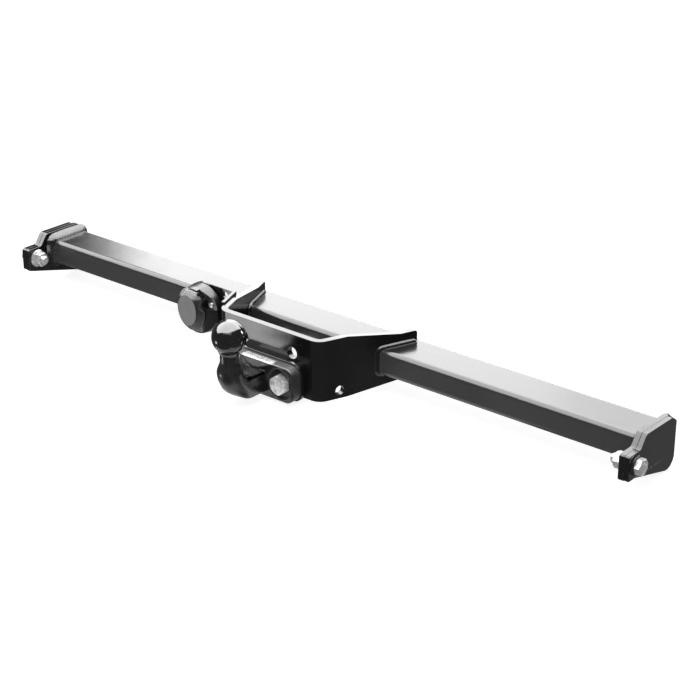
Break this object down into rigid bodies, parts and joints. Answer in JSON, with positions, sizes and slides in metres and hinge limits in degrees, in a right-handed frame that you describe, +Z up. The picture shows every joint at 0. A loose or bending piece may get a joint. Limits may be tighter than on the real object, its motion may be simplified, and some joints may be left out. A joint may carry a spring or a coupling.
{
  "type": "fixed flange-ball tow bar with electric socket",
  "caption": "Car tow bar: crossbar with end plates, welded U bracket, bolted flange ball and an electric socket with a sprung lid.",
  "frame": {"origin": "centre of the tow ball", "axes": "+X along the crossbar to the right for a person who faces the car's tail, +Y from the ball towards the car, +Z up"},
  "size_m": [1.1846, 0.276, 0.136],
  "materials": {
    "black_paint": "gloss powder coat",
    "weld": "gloss powder coat over a rippled bead",
    "forged_black": "satin coat over a rough forging, polished on the ball",
    "zinc": "bright zinc plate",
    "black_plastic": "satin moulded",
    "rubber": "matte",
    "brass": "bright"
  },
  "bodies": {
    "tow_bar": {"crossbar": "black_paint", "end_plate_left": "black_paint", "end_plate_right": "black_paint", "side_bracket_left": "black_paint", "side_bracket_right": "black_paint", "centre_bracket": "black_paint", "spacer_plate": "black_paint", "socket_plate": "black_paint", "end_plate_welds": "weld", "bracket_welds": "weld", "tow_ball": "forged_black", "side_bolts": "zinc", "side_washers": "zinc", "side_nuts": "zinc", "flange_bolts": "zinc", "flange_washers": "zinc", "flange_nuts": "zinc", "socket_plate_bolt": "zinc", "socket_plate_nut": "zinc", "socket_screws": "zinc", "socket_screw_nuts": "zinc", "hinge_pin": "zinc", "lid_spring": "zinc", "socket_housing": "black_plastic", "contact_insert": "black_plastic", "socket_gasket": "rubber", "cable_grommet": "rubber", "contacts": "brass"},
    "lid": {"socket_lid": "black_plastic", "lid_seal": "rubber"}
  },
  "joints": [
    {"name": "lid_hinge", "type": "hinge", "parent": "tow_bar", "child": "lid", "pos_m": [-0.181, 0.1125, -0.0155], "axis": [-1, 0, 0], "range_deg": [0, 110], "stiffness_Nm_per_rad": 0.03, "springref_deg": -34.38}
  ]
}
